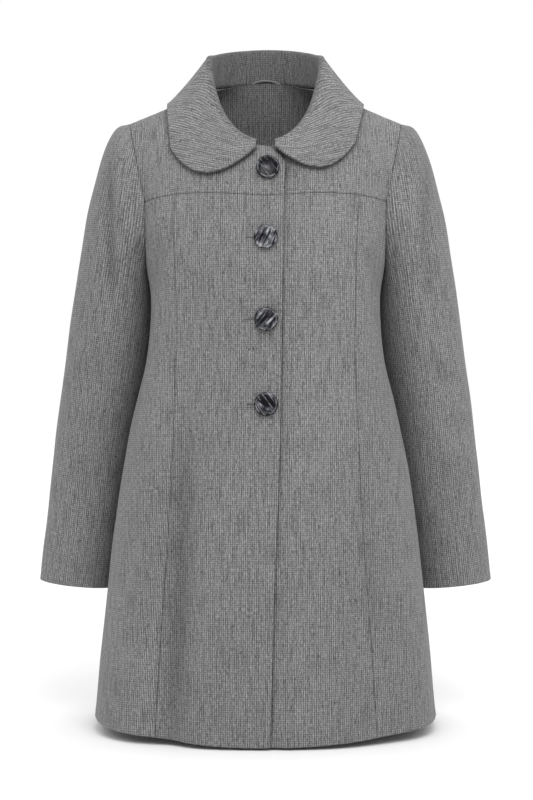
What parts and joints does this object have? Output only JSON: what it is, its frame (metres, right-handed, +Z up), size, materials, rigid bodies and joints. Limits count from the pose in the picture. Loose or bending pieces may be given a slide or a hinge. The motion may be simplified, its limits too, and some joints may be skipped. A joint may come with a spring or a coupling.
{
  "type": "overcoat",
  "caption": "A-line single-breasted overcoat in grey check wool with a rounded collar, front yokes, princess seams, plain two-piece set-in sleeves and large dark buttons.",
  "frame": {"origin": "middle of the neck opening at the height of the back neck seam, where the coat is worn or held", "axes": "+Z up, the coat's front towards -Y, the wearer's left towards +X"},
  "size_m": [0.6092, 0.3469, 0.9065],
  "materials": {
    "coat_wool": "matt woven wool, fine black and off-white check",
    "facing_wool": "matt woven wool, the coat's own cloth",
    "loop_cloth": "matt narrow rolled cloth",
    "button_horn": "polished, dark marbled with pale streaks"
  },
  "bodies": {
    "root": {"front_yoke_right": "coat_wool", "front_yoke_left": "coat_wool", "front_centre_right": "coat_wool", "front_centre_left": "coat_wool", "front_side_right": "coat_wool", "front_side_left": "coat_wool", "back_right": "coat_wool", "back_left": "coat_wool", "sleeve_top_right": "coat_wool", "sleeve_under_right": "coat_wool", "sleeve_top_left": "coat_wool", "sleeve_under_left": "coat_wool", "collar": "coat_wool", "back_neck_facing": "facing_wool", "hanger_loop": "loop_cloth", "button_1": "button_horn", "button_2": "button_horn", "button_3": "button_horn", "button_4": "button_horn"}
  },
  "joints": []
}
